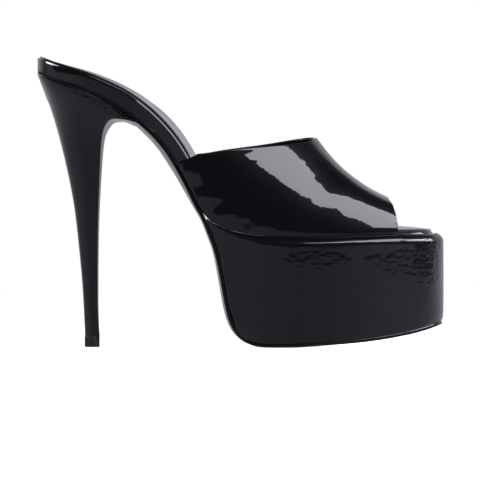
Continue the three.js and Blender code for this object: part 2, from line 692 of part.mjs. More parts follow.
function upper() {
  const outer = evenly(UPPER_AROUND).map((around) => {
    const from = toplineX(around);
    const to = toeOpening(around) * FOOT_RUN;
    return evenly(UPPER_ALONG).map((t) => {
      const x = lerp(from, to, t ** UPPER_EASE);
      const { y, height } = lastPoint(x, around);
      return new THREE.Vector3(x, y, bandFoot(x) + height);
    });
  });
  const near = (rows, i) => rows[clamp(i, 0, rows.length - 1)];
  const inner = outer.map((row, i) =>
    row.map((point, j) => {
      const across = near(near(outer, i + 1), j).clone().sub(near(near(outer, i - 1), j));
      const along = near(row, j + 1).clone().sub(near(row, j - 1));
      const inside = point.clone().addScaledVector(across.cross(along).normalize(), UPPER_WALL);
      if (i === 0 || i === UPPER_AROUND) inside.setZ(bandFoot(inside.x));
      return inside;
    }),
  );
  const columns = UPPER_ALONG + 1;
  const innerStart = (UPPER_AROUND + 1) * columns;
  const at = (i, j) => i * columns + j;
  const index = [];
  const quad = (a, b, c, d) => index.push(a, b, c, a, c, d);
  for (let i = 0; i < UPPER_AROUND; i += 1) {
    for (let j = 0; j < UPPER_ALONG; j += 1) {
      const face = [at(i, j), at(i, j + 1), at(i + 1, j + 1), at(i + 1, j)];
      quad(...face);
      quad(...face.map((k) => k + innerStart).reverse());
    }
    quad(at(i + 1, 0), innerStart + at(i + 1, 0), innerStart + at(i, 0), at(i, 0));
    const [here, next] = [at(i, UPPER_ALONG), at(i + 1, UPPER_ALONG)];
    quad(here, innerStart + here, innerStart + next, next);
  }
  for (let j = 0; j < UPPER_ALONG; j += 1) {
    quad(at(0, j), innerStart + at(0, j), innerStart + at(0, j + 1), at(0, j + 1));
    const [here, next] = [at(UPPER_AROUND, j), at(UPPER_AROUND, j + 1)];
    quad(next, innerStart + next, innerStart + here, here);
  }
  return body([...outer, ...inner].flat().flatMap((point) => point.toArray()), index);
}

// Heel: D-shaped sections from the tip to the seat, then rings that close its top under the sole
const soleUnder = (span) => soleLine.lifted(({ share }) => -soleThickness(share, span));
const soleUnderEdge = soleUnder(1);
const soleUnderMiddle = soleUnder(0);

function soleRim(x, side) {
  return footEdge(x, side) + side * soleOut(x) * Math.abs(footNormal(x, side)[1]);
}

function heelTopHeight(x, y) {
  const side = y < 0 ? -1 : 1;
  const span = clamp(Math.abs(y / soleRim(x, side)), 0, 1);
  return lerp(soleUnderMiddle.atX(x).z, soleUnderEdge.atX(x).z, span * span) - CLEARANCE * HEEL_LIFT;
}

const HEEL_FOOT = TIP_HEIGHT + CLEARANCE; // the heel ends just over its tip
const heelRows = HEEL_SECTIONS.map((row, i) => ({ ...row, at: i / (HEEL_SECTIONS.length - 1) }));
const heelColumn = (name) => heldCurve(heelRows, 'at', name);
const heelBack = heelColumn('back');
const heelBackHeight = heelColumn('backHeight');
const heelFront = heelColumn('front');
const heelFrontHeight = heelColumn('frontHeight');
const heelHalf = heelColumn('half');
const heelBulge = heelColumn('bulge');

function heelPoint(t, depth, side) {
  const back = [heelBack(t) * HEEL_LIP, lerp(HEEL_FOOT, SEAT_RISE, heelBackHeight(t))];
  const front = [heelFront(t) * HEEL_LIP, lerp(HEEL_FOOT, SEAT_RISE, heelFrontHeight(t))];
  const x = lerp(back[0], front[0], depth);
  const half = HEEL_SEAT_WIDTH * heelHalf(t) * roundEnd(depth, HEEL_BACK_ROUND, SEAT_FULLNESS);
  const seatShare = smoothstep(t, HEEL_TOP_BLEND, 1);
  return [x, lerp(side * half, soleRim(x, side), seatShare), lerp(back[1], front[1], depth)];
}

// The middle of the breast stands out square to the breast line: forward, and downward at the lip
function breastPoint(t, across) {
  const [x, y, z] = heelPoint(t, 1, across < 0 ? -1 : 1);
  const step = 1 / (HEEL_SECTIONS.length - 1);
  const before = heelPoint(Math.max(t - step, 0), 1, 1);
  const after = heelPoint(Math.min(t + step, 1), 1, 1);
  const size = Math.hypot(after[0] - before[0], after[2] - before[2]);
  const bulge = HEEL_SEAT_WIDTH * heelBulge(t) * (1 - across * across);
  return [
    x + (bulge * (after[2] - before[2])) / size,
    y * Math.abs(across),
    z - (bulge * (after[0] - before[0])) / size,
  ];
}

function heelRing(t) {
  const sideSteps = evenly(HEEL_SIDE_STEPS).map((depth) => depth ** HEEL_STEP_EASE);
  const breast = evenly(BREAST_STEPS).slice(1, -1);
  return [
    ...sideSteps.map((depth) => heelPoint(t, depth, -1)),
    ...breast.map((share) => breastPoint(t, 2 * share - 1)),
    ...sideSteps.reverse().map((depth) => heelPoint(t, depth, 1)),
  ];
}

function heel() {
  const rings = evenly(HEEL_RINGS).map(heelRing);
  const rim = heelRing(1).map(([x, y]) => [clamp(x, heelBack(1) * HEEL_LIP, HEEL_LIP), y]);
  const spine = [HEEL_SPINE.back * HEEL_LIP, HEEL_SPINE.front * HEEL_LIP];
  const closing = [1, ...HEEL_TOP_SPANS].map((span) =>
    rim.map(([x, y]) => {
      const [topX, topY] = [lerp(clamp(x, ...spine), x, span), y * span];
      return [topX, topY, heelTopHeight(topX, topY)];
    }),
  );
  return skin([...rings, ...closing]);
}

// Heel tip: a flat slice of the heel's lowest section, a little wider so that its edge shows
function topPiece() {
  const { back, front } = HEEL_SECTIONS[0];
  const middle = ((back + front) / 2) * HEEL_LIP;
  const ring = (z) => {
    const sideSteps = evenly(HEEL_SIDE_STEPS).map((depth) => depth ** HEEL_STEP_EASE);
    const side = (depth, sign) => [
      middle + TIP_LENGTH * (depth - 0.5),
      (sign * TIP_WIDTH * roundEnd(depth, HEEL_BACK_ROUND, SEAT_FULLNESS)) / 2,
      z,
    ];
    return [
      ...sideSteps.map((depth) => side(depth, -1)),
      ...sideSteps.reverse().map((depth) => side(depth, 1)),
    ];
  };
  return skin([ring(0), ring(TIP_HEIGHT)]);
}

// Materials
const material = (color, roughness) =>
  new THREE.MeshStandardMaterial({ color, roughness, metalness: 0 });
const patent = () => material(0x0a090c, 0.08);
const PIECES = [
  ['upper', upper, patent()],
  ['insole', insole, patent()],
  ['sock', sock, material(0x121114, 0.16)],
  ['platform', platform, patent()],
  ['outsole', outsole, material(0x161518, 0.3)],
  ['heel', heel, patent()],
  ['top_piece', topPiece, material(0x1a191b, 0.45)],
];

const group = new THREE.Group();
PIECES.forEach(([name, build, finish]) => {
  const mesh = new THREE.Mesh(build(), finish);
  mesh.name = name;
  group.add(mesh);
});

// Origin in the middle of the shoe's floor rectangle
const box = new THREE.Box3().setFromObject(group);
const middle = box.getCenter(new THREE.Vector3());
group.position.set(-middle.x, -middle.y, -box.min.z);

export default group;
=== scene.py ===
"""Black patent-leather platform mule, a right shoe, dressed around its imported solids."""

import logging
import math
from contextlib import contextmanager
from dataclasses import dataclass
from enum import Enum
from typing import Callable, Iterator, Protocol

import bpy
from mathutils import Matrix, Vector


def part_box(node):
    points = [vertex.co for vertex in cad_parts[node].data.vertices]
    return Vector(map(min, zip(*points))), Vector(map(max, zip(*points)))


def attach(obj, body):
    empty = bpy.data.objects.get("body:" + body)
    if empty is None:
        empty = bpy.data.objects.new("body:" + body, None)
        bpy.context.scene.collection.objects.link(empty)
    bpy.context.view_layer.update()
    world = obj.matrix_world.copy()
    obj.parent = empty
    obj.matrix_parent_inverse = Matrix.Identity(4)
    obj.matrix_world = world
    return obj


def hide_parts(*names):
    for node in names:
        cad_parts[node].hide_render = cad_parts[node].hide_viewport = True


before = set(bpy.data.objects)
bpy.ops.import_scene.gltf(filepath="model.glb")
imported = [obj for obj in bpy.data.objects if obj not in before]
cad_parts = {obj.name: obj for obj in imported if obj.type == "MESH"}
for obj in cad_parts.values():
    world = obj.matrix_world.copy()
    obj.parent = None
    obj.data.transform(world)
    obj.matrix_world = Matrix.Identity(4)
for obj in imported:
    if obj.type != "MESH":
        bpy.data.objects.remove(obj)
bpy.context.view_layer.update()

logger = logging.getLogger("platform_mule")

MM = 0.001

VertexTest = Callable[[bpy.types.MeshVertex], bool]
FaceTest = Callable[[bpy.types.MeshPolygon], bool]


class Part(Enum):
    """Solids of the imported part."""

    UPPER = "upper"
    INSOLE = "insole"
    SOCK = "sock"
    PLATFORM = "platform"
    OUTSOLE = "outsole"
    HEEL = "heel"
    TIP = "top_piece"


class Slot(Enum):
    """Material slots of the record."""

    UPPER = "upper_patent"
    INSOLE = "insole_patent"
    SOCK = "sock_lining"
    PLATFORM = "platform_wrap"
    OUTSOLE = "outsole"
    HEEL = "heel_cover"
    TIP = "top_piece"


def linear(code: str) -> tuple[float, float, float, float]:
    """Turn an sRGB hex value into a linear colour.

    Args:
        code: The colour as "#rrggbb".

    Returns:
        Red, green, blue and alpha, linear.
    """
    shares = [int(code[i : i + 2], 16) / 255 for i in (1, 3, 5)]
    red, green, blue = (
        share / 12.92 if share <= 0.04045 else ((share + 0.055) / 1.055) ** 2.4 for share in shares
    )
    return red, green, blue, 1.0


def add_node(
    tree: bpy.types.NodeTree, kind: str, settings: dict | None = None, sockets: dict | None = None
) -> bpy.types.Node:
    """Add a node with its settings, and fill its inputs with values or with links.

    Args:
        tree: The node tree.
        kind: The node's type name.
        settings: The node's own properties.
        sockets: Its inputs by name or number; an output of another node is linked.

    Returns:
        The new node.
    """
    node = tree.nodes.new(kind)
    for key, value in (settings or {}).items():
        setattr(node, key, value)
    for key, value in (sockets or {}).items():
        if isinstance(value, bpy.types.NodeSocket):
            tree.links.new(value, node.inputs[key])
        else:
            node.inputs[key].default_value = value
    return node


def raise_bump(
    tree: bpy.types.NodeTree,
    height: bpy.types.NodeSocket,
    depth_mm: float,
    under: bpy.types.NodeSocket | None = None,
) -> bpy.types.NodeSocket:
    """Raise a pattern by a real depth, on top of another one where it is given.

    Args:
        tree: The material's node tree.
        height: The pattern, from 0 to 1.
        depth_mm: What the pattern's full height stands for.
        under: The normal that it starts from.

    Returns:
        The normal.
    """
    sockets = {"Height": height, "Distance": depth_mm * MM}
    if under:
        sockets["Normal"] = under
    return add_node(tree, "ShaderNodeBump", sockets=sockets).outputs["Normal"]


def choose(piece: bpy.types.Object) -> None:
    """Make one object the only selected and the active one."""
    if bpy.context.object and bpy.context.object.mode != "OBJECT":
        bpy.ops.object.mode_set(mode="OBJECT")
    bpy.ops.object.select_all(action="DESELECT")
    piece.select_set(True)
    bpy.context.view_layer.objects.active = piece


@contextmanager
def editing(piece: bpy.types.Object, kind: str = "VERT") -> Iterator[None]:
    """Open a piece in edit mode, with its selection kept, and close it again."""
    choose(piece)
    bpy.ops.object.mode_set(mode="EDIT")
    bpy.ops.mesh.select_mode(type=kind)
    yield
    bpy.ops.object.mode_set(mode="OBJECT")


def select_vertices(piece: bpy.types.Object, test: VertexTest) -> int:
    """Select the vertices that pass a test, and nothing else.

    Args:
        piece: The mesh object, in object mode.
        test: The test that a vertex has to pass.

    Returns:
        How many passed.
    """
    mesh = piece.data
    mesh.polygons.foreach_set("select", [False] * len(mesh.polygons))
    mesh.edges.foreach_set("select", [False] * len(mesh.edges))
    chosen = [test(vertex) for vertex in mesh.vertices]
    mesh.vertices.foreach_set("select", chosen)
    return sum(chosen)


def finish_with(piece: bpy.types.Object, kind: str, settings: dict) -> None:
    """Add a modifier with its settings and apply it.

    Args:
        piece: The mesh object.
        kind: The modifier's type.
        settings: The modifier's properties.
    """
    choose(piece)
    modifier = piece.modifiers.new(kind.title(), kind)
    for key, value in settings.items():
        setattr(modifier, key, value)
    bpy.ops.object.modifier_apply(modifier=modifier.name)


def lasted_copy(part: Part, name: str) -> bpy.types.Object:
    """Copy a solid's mesh into a piece of its own, merged and turned back into quads.

    Args:
        part: The solid that is copied.
        name: Name of the new piece.

    Returns:
        The new piece.
    """
    piece = bpy.data.objects.new(name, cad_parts[part.value].data.copy())
    piece.data.name = name
    bpy.context.scene.collection.objects.link(piece)
    choose(piece)
    bpy.ops.mesh.customdata_custom_splitnormals_clear()
    piece.data.materials.clear()
    with editing(piece):
        bpy.ops.mesh.select_all(action="SELECT")
        bpy.ops.mesh.remove_doubles(threshold=0.002 * MM)
        bpy.ops.mesh.tris_convert_to_quads(
            face_threshold=math.radians(60), shape_threshold=math.radians(80)
        )
    return piece


def grow_faces(piece: bpy.types.Object, test: FaceTest, distance_mm: float) -> int:
    """Move the faces that pass a test outwards, each corner along the mean of those faces' normals.

    Args:
        piece: The mesh object, in object mode.
        test: The test that a face has to pass.
        distance_mm: How far they move.

    Returns:
        How many faces moved.
    """
    mesh = piece.data
    moves: dict[int, Vector] = {}
    moved = [face for face in mesh.polygons if test(face)]
    for face in moved:
        for index in face.vertices:
            moves[index] = moves.get(index, Vector()) + face.normal
    for index, direction in moves.items():
        mesh.vertices[index].co += direction.normalized() * distance_mm * MM
    return len(moved)


@dataclass(frozen=True)
class Rounding:
    """How a cut or folded edge is rounded and how finely the skin is divided."""

    width_mm: float
    segments: int = 2
    angle_deg: float = 35.0
    levels: int = 1

    def apply(self, piece: bpy.types.Object) -> None:
        """Round the edges of a piece and smooth its skin."""
        finish_with(
            piece,
            "BEVEL",
            {
                "width": self.width_mm * MM,
                "segments": self.segments,
                "limit_method": "ANGLE",
                "angle_limit": math.radians(self.angle_deg),
                "use_clamp_overlap": True,
            },
        )
        finish_with(piece, "SUBSURF", {"levels": self.levels, "render_levels": self.levels})
        choose(piece)
        bpy.ops.object.shade_smooth()


@dataclass(frozen=True)
class PullMark:
    """A patch of small puckers, or a low swelling, where the wrap was pulled: an oval from the side."""

    place_mm: tuple[float, float]
    half_mm: tuple[float, float]
    swell: float = 0.0


@dataclass(frozen=True)
class Puckers:
    """Shallow puckers in a wrap. Each is longer along the edge than it is high."""

    marks: tuple[PullMark, ...]
    length_mm: float = 3.9
    height_mm: float = 2.3
    depth_mm: float = 0.13
    cut: float = 0.47

    def height(self, tree: bpy.types.NodeTree, place: bpy.types.NodeSocket) -> bpy.types.NodeSocket:
        """Build the height of the puckers.

        Args:
            tree: The material's node tree.
            place: The place on the piece.

        Returns:
            The height, from 0 to 1.
        """
        long_way, high_way = 1 / (self.length_mm * MM), 1 / (self.height_mm * MM)
        stretched = add_node(
            tree, "ShaderNodeMapping", sockets={0: place, "Scale": (long_way, long_way, high_way)}
        )
        grain = add_node(
            tree,
            "ShaderNodeTexNoise",
            sockets={"Vector": stretched.outputs[0], "Scale": 1.0, "Detail": 1.6},
        )
        raised = add_node(
            tree,
            "ShaderNodeMapRange",
            {"interpolation_type": "SMOOTHSTEP"},
            {"Value": grain.outputs["Fac"], "From Min": self.cut - 0.15, "From Max": self.cut + 0.15},
        )
        puckered, swollen = [], []
        for mark in self.marks:
            (x, z), (half_x, half_z) = mark.place_mm, mark.half_mm
            scale = (1 / (half_x * MM), 0, 1 / (half_z * MM))
            shift = (-x / half_x, 0, -z / half_z)
            centred = add_node(
                tree, "ShaderNodeMapping", sockets={0: place, "Location": shift, "Scale": scale}
            )
            away = add_node(
                tree, "ShaderNodeVectorMath", {"operation": "LENGTH"}, {0: centred.outputs[0]}
            )
            inside = add_node(
                tree,
                "ShaderNodeMapRange",
                {"interpolation_type": "SMOOTHSTEP"},
                {
                    "Value": away.outputs["Value"],
                    "From Min": 0.0 if mark.swell else 0.5,
                    "From Max": 1.1,
                    "To Min": mark.swell or 1.0,
                    "To Max": 0.0,
                },
            )
            (swollen if mark.swell else puckered).append(inside.outputs[0])
        return add_node(
            tree,
            "ShaderNodeMath",
            {"operation": "MULTIPLY_ADD"},
            {
                0: self.joined(tree, "MAXIMUM", puckered),
                1: raised.outputs[0],
                2: self.joined(tree, "ADD", swollen),
            },
        ).outputs[0]

    @staticmethod
    def joined(
        tree: bpy.types.NodeTree, operation: str, heights: list[bpy.types.NodeSocket]
    ) -> bpy.types.NodeSocket:
        """Join the heights of several marks by one operation."""
        total = heights[0]
        for height in heights[1:]:
            total = add_node(
                tree, "ShaderNodeMath", {"operation": operation}, {0: total, 1: height}
            ).outputs[0]
        return total


@dataclass(frozen=True)
class PatentLeather:
    """Cowhide under a poured film of clear polyurethane, pulled over a last or a block.

    The film gives deep black with mirror-sharp highlights. Hide and film dry unevenly, so the
    reflections swim a little: a slow ripple from the lasting and a fine orange peel from the film.
    """

    name: str
    colour: str = "#050407"
    ripple_mm: float = 5.0
    ripple_depth_mm: float = 0.05
    peel_mm: float = 1.6
    peel_depth_mm: float = 0.004
    gloss: float = 0.03
    body_roughness: float = 0.34
    puckers: Puckers | None = None

    def material(self) -> bpy.types.Material:
        """Build the material."""
        made = bpy.data.materials.new(self.name)
        made.use_nodes = True
        tree = made.node_tree
        shader = tree.nodes["Principled BSDF"]
        place = add_node(tree, "ShaderNodeTexCoord").outputs["Object"]
        normal = None
        for size, depth in (
            (self.ripple_mm, self.ripple_depth_mm),
            (self.peel_mm, self.peel_depth_mm),
        ):
            noise = add_node(
                tree,
                "ShaderNodeTexNoise",
                sockets={"Vector": place, "Scale": 1 / (size * MM), "Detail": 2.0},
            )
            normal = raise_bump(tree, noise.outputs["Fac"], depth, normal)
        if self.puckers:
            height = self.puckers.height(tree, place)
            normal = raise_bump(tree, height, self.puckers.depth_mm, normal)
        tree.links.new(normal, shader.inputs["Normal"])
        tree.links.new(normal, shader.inputs["Coat Normal"])
        shader.inputs["Base Color"].default_value = linear(self.colour)
        shader.inputs["Roughness"].default_value = self.body_roughness
        shader.inputs["Specular IOR Level"].default_value = 0.08
        shader.inputs["Coat Weight"].default_value = 1.0
        shader.inputs["Coat Roughness"].default_value = self.gloss
        shader.inputs["Coat IOR"].default_value = 1.5
        return made


@dataclass(frozen=True)
class PigskinLining:
    """Drum-dyed pigskin lining, buffed: a dull black with pores in loose groups."""

    name: str = "pigskin lining"
    colour: str = "#0b0a0c"
    pore_mm: float = 1.4
    pore_depth_mm: float = 0.05
    roughness: float = 0.5

    def material(self) -> bpy.types.Material:
        """Build the material."""
        made = bpy.data.materials.new(self.name)
        made.use_nodes = True
        tree = made.node_tree
        shader = tree.nodes["Principled BSDF"]
        place = add_node(tree, "ShaderNodeTexCoord").outputs["Object"]
        pores = add_node(
            tree,
            "ShaderNodeTexVoronoi",
            {"feature": "SMOOTH_F1"},
            {"Vector": place, "Scale": 1 / (self.pore_mm * MM), "Smoothness": 0.3},
        )
        pits = add_node(
            tree,
            "ShaderNodeMapRange",
            {"interpolation_type": "SMOOTHSTEP"},
            {"Value": pores.outputs["Distance"], "From Min": 0.05, "From Max": 0.3},
        )
        normal = raise_bump(tree, pits.outputs[0], self.pore_depth_mm)
        tree.links.new(normal, shader.inputs["Normal"])
        shader.inputs["Base Color"].default_value = linear(self.colour)
        shader.inputs["Roughness"].default_value = self.roughness
        shader.inputs["Specular IOR Level"].default_value = 0.3
        return made


@dataclass(frozen=True)
class GlazedKid:
    """Kid leather for the sock, glazed under a glass roller: glossy, with a very fine grain."""

    name: str = "glazed kid sock"
    colour: str = "#0a090c"
    grain_mm: float = 0.9
    grain_depth_mm: float = 0.006
    wave_mm: float = 14.0
    wave_depth_mm: float = 0.05
    roughness: float = 0.3
    glaze: float = 0.08

    def material(self) -> bpy.types.Material:
        """Build the material."""
        made = bpy.data.materials.new(self.name)
        made.use_nodes = True
        tree = made.node_tree
        shader = tree.nodes["Principled BSDF"]
        place = add_node(tree, "ShaderNodeTexCoord").outputs["Object"]
        # The sock is glued down by hand, so it lies in slow waves; the grain is drawn a little coarse.
        waves = add_node(
            tree, "ShaderNodeTexNoise", sockets={"Vector": place, "Scale": 1 / (self.wave_mm * MM)}
        )
        grain = add_node(
            tree, "ShaderNodeTexVoronoi", sockets={"Vector": place, "Scale": 1 / (self.grain_mm * MM)}
        )
        normal = raise_bump(tree, waves.outputs["Fac"], self.wave_depth_mm)
        normal = raise_bump(tree, grain.outputs["Distance"], self.grain_depth_mm, normal)
        tree.links.new(normal, shader.inputs["Normal"])
        tree.links.new(normal, shader.inputs["Coat Normal"])
        shader.inputs["Base Color"].default_value = linear(self.colour)
        shader.inputs["Roughness"].default_value = self.roughness
        shader.inputs["Coat Weight"].default_value = 1.0
        shader.inputs["Coat Roughness"].default_value = self.glaze
        return made


@dataclass(frozen=True)
class MouldedSole:
    """Black thermoplastic rubber, moulded: an even satin skin from an etched mould."""

    name: str = "moulded rubber sole"
    colour: str = "#0c0b0e"
    stipple_mm: float = 0.7
    stipple_depth_mm: float = 0.012
    roughness: float = 0.14

    def material(self) -> bpy.types.Material:
        """Build the material."""
        made = bpy.data.materials.new(self.name)
        made.use_nodes = True
        tree = made.node_tree
        shader = tree.nodes["Principled BSDF"]
        place = add_node(tree, "ShaderNodeTexCoord").outputs["Object"]
        stipple = add_node(
            tree,
            "ShaderNodeTexNoise",
            sockets={"Vector": place, "Scale": 1 / (self.stipple_mm * MM), "Detail": 3.0},
        )
        normal = raise_bump(tree, stipple.outputs["Fac"], self.stipple_depth_mm)
        tree.links.new(normal, shader.inputs["Normal"])
        shader.inputs["Base Color"].default_value = linear(self.colour)
        shader.inputs["Roughness"].default_value = self.roughness
        return made


@dataclass(frozen=True)
class PaintedShadeEdge:
    """Painted shade on the rear edge of the sole: a matt, deeper black that stands for the shade of the
    groove under the board.
    """

    name: str = "painted shade on the sole edge"
    colour: str = "#040304"
    roughness: float = 0.55

    def material(self) -> bpy.types.Material:
        """Build the painted shade: a rough, weak gloss over a deeper black, so that the edge reads as a
        dark line.
        """
        made = bpy.data.materials.new(self.name)
        made.use_nodes = True
        tree = made.node_tree
        shader = tree.nodes["Principled BSDF"]
        shader.inputs["Base Color"].default_value = linear(self.colour)
        shader.inputs["Roughness"].default_value = self.roughness
        shader.inputs["Specular IOR Level"].default_value = 0.12
        raise_to = add_node(
            tree, "ShaderNodeTexNoise", sockets={"Scale": 900.0, "Detail": 1.0}
        )
        place = add_node(tree, "ShaderNodeTexCoord").outputs["Object"]
        tree.links.new(place, raise_to.inputs["Vector"])
        tree.links.new(raise_bump(tree, raise_to.outputs[0], 0.01), shader.inputs["Normal"])
        return made


@dataclass(frozen=True)
class MouldedTip:
    """Hard polyurethane of the heel tip, injection moulded: matt, finely sparked, a little greyer."""

    name: str = "polyurethane heel tip"
    colour: str = "#121114"
    spark_mm: float = 0.5
    spark_depth_mm: float = 0.01
    roughness: float = 0.42

    def material(self) -> bpy.types.Material:
        """Build the material."""
        made = bpy.data.materials.new(self.name)
        made.use_nodes = True
        tree = made.node_tree
        shader = tree.nodes["Principled BSDF"]
        place = add_node(tree, "ShaderNodeTexCoord").outputs["Object"]
        spark = add_node(
            tree, "ShaderNodeTexNoise", sockets={"Vector": place, "Scale": 1 / (self.spark_mm * MM)}
        )
        normal = raise_bump(tree, spark.outputs["Fac"], self.spark_depth_mm)
        tree.links.new(normal, shader.inputs["Normal"])
        shader.inputs["Base Color"].default_value = linear(self.colour)
        shader.inputs["Roughness"].default_value = self.roughness
        return made


def dress(
    piece: bpy.types.Object, part: Part, materials: list[bpy.types.Material]
) -> bpy.types.Object:
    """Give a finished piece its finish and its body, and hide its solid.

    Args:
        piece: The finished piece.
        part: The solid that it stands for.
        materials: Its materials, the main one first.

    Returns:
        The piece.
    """
    for index, made in enumerate(materials):
        if index < len(piece.data.materials):
            piece.data.materials[index] = made
        else:
            piece.data.materials.append(made)
    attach(piece, "root")
    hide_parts(part.value)
    logger.info("%s: %d faces", piece.name, len(piece.data.polygons))
    return piece


class Side(Enum):
    """Sides of the shoe, by the sign of Y."""

    LATERAL = -1
    MEDIAL = 1


def pull_softly(
    piece: bpy.types.Object, index: int, move: Vector, reach_mm: float, joined: bool
) -> None:
    """Move one vertex, and its neighbourhood less and less with the distance.

    Args:
        piece: The mesh object, in object mode.
        index: The vertex that moves the whole way.
        move: The way, in metres.
        reach_mm: How far the pull reaches.
        joined: Whether the reach is measured along the skin instead of through the air.
    """
    select_vertices(piece, lambda v: v.index == index)
    with editing(piece):
        bpy.ops.transform.translate(
            value=move,
            use_proportional_edit=True,
            use_proportional_connected=joined,
            proportional_edit_falloff="SMOOTH",
            proportional_size=reach_mm * MM,
        )


@dataclass(frozen=True)
class Pull:
    """One soft pull of a block's surface, by place and way."""

    place_mm: tuple[float, float, float]
    move_mm: tuple[float, float, float]
    reach_mm: float

    def apply(self, piece: bpy.types.Object) -> None:
        """Pull the surface at the vertex nearest to the place."""
        place = Vector(self.place_mm) * MM
        nearest = min(piece.data.vertices, key=lambda v: (v.co - place).length).index
        pull_softly(piece, nearest, Vector(self.move_mm) * MM, self.reach_mm, False)


@dataclass(frozen=True)
class Crease:
    """One soft lasting crease: a place on a flank, pulled out or pressed in square to the leather."""

    side: Side
    place_mm: tuple[float, float]
    pull_mm: float
    reach_mm: float

    def press(self, piece: bpy.types.Object) -> None:
        """Move the leather at the crease, with a soft falloff round it."""
        x, z = (value * MM for value in self.place_mm)
        mesh = piece.data
        flank = (v for v in mesh.vertices if v.co.y * self.side.value > 0)
        middle = min(
            flank, key=lambda v: (v.co.x - x) ** 2 + (v.co.z - z) ** 2 - self.side.value * v.co.y * MM
        ).index
        pull = mesh.vertices[middle].normal * self.pull_mm * MM
        pull_softly(piece, middle, pull, self.reach_mm, True)


# Creases: short pulls above the feather edge, where pincers drew the band down
LASTING_CREASES = tuple(
    Crease(side, place, pull, reach)
    for side in Side
    for place, pull, reach in (
        ((-26.5, 93.5), 0.14, 6.0),
        ((-22.5, 86.5), -0.1, 5.0),
        ((-17.5, 80.5), 0.14, 6.0),
        ((-11.5, 76.0), -0.08, 5.0),
        ((-5.5, 70.5), 0.12, 6.5),
        ((2.5, 66.5), -0.07, 5.0),
        ((14.0, 66.0), 0.08, 6.0),
        ((62.0, 65.0), -0.06, 5.0),
        ((74.0, 64.5), 0.08, 5.0),
    )
)


@dataclass
class VampBand:
    """The vamp: one lasted band of patent leather with a pigskin lining."""

    name: str = "vamp"
    edge: Rounding = Rounding(width_mm=0.6, segments=3, angle_deg=40, levels=1)
    foot_drop_mm: float = 0.5
    creases: tuple[Crease, ...] = LASTING_CREASES
    toe_pull: Pull = Pull(place_mm=(82.0, -6.0, 77.0), move_mm=(-1.4, 0.0, 0.0), reach_mm=27.0)
    wave_mm: float = 7.0
    wave_depth_mm: float = 0.06
    instep_mm: tuple[float, float] = (2.0, 72.0)
    arch_start_mm: float = -14.0
    arch_slope: float = 1.7

    def looks_inward(self, face: bpy.types.MeshPolygon) -> bool:
        """Tell whether a face of the band looks at the middle of the foot."""
        middle_y, middle_z = self.instep_mm
        middle_z += max(self.arch_start_mm - face.center.x / MM, 0) * self.arch_slope
        inward = Vector((face.center.x, middle_y * MM, middle_z * MM)) - face.center
        return face.normal.dot(inward.normalized()) > 0.35

    def line(self, piece: bpy.types.Object) -> None:
        """Give the inner faces their lining."""
        for face in piece.data.polygons:
            face.material_index = 1 if self.looks_inward(face) else 0

    def wave(self, piece: bpy.types.Object) -> None:
        """Let the skin swim a little, as leather does over a last."""
        clouds = bpy.data.textures.new("lasted_hide", "CLOUDS")
        clouds.noise_scale = self.wave_mm * MM
        clouds.noise_depth = 1
        settings = {
            "texture": clouds,
            "texture_coords": "LOCAL",
            "strength": self.wave_depth_mm * MM,
            "mid_level": 0.5,
        }
        finish_with(piece, "DISPLACE", settings)

    def build(self) -> bpy.types.Object:
        """Model the vamp and dress it."""
        piece = lasted_copy(Part.UPPER, self.name)
        grow_faces(
            piece,
            lambda face: face.normal.z < -0.3 and abs(face.normal.y) < 0.6,
            self.foot_drop_mm,
        )
        outside = PatentLeather("patent leather of the vamp").material()
        for made in (outside, PigskinLining().material()):
            piece.data.materials.append(made)
        self.line(piece)
        self.edge.apply(piece)
        finish_with(piece, "SUBSURF", {"levels": 1, "render_levels": 1})
        self.toe_pull.apply(piece)
        for crease in self.creases:
            crease.press(piece)
        self.wave(piece)
        return dress(piece, Part.UPPER, [])


class Finish(Protocol):
    """What a finish has to offer."""

    def material(self) -> bpy.types.Material:
        """Build the material."""


@dataclass
class CoveredBlock:
    """A piece cut or wrapped over its solid, with softly turned edges."""

    part: Part
    slot: Slot
    name: str
    edge: Rounding
    finish: Finish
    bedded: FaceTest
    bedding_mm: float = 0.28
    pulls: tuple[Pull, ...] = ()
    # painted shade for the rear edge and its covered face, where it is given
    painted_shade_finish: Finish | None = None
    edge_end_mm: float = -20.0

    def trim(self, piece: bpy.types.Object) -> None:
        """Mark the edge and the covered face of the rear part for the painted shade, which darkens the
        edge and the gap above it.
        """
        for face in piece.data.polygons:
            # Painted shade: the rear edge and the covered top face take the darker, duller material.
            painted_shade = abs(face.normal.y) > 0.25 or face.normal.z > 0.3
            face.material_index = int(painted_shade and face.center.x < self.edge_end_mm * MM)

    def build(self) -> bpy.types.Object:
        """Model the piece and dress it."""
        piece = lasted_copy(self.part, self.name)
        grow_faces(piece, self.bedded, self.bedding_mm)
        for pull in self.pulls:
            pull.apply(piece)
        self.edge.apply(piece)
        finishes = [self.finish.material()]
        if self.painted_shade_finish:
            piece.data.materials.append(finishes[0])
            piece.data.materials.append(self.painted_shade_finish.material())
            finishes.append(piece.data.materials[1])
            self.trim(piece)
        return dress(piece, self.part, finishes)


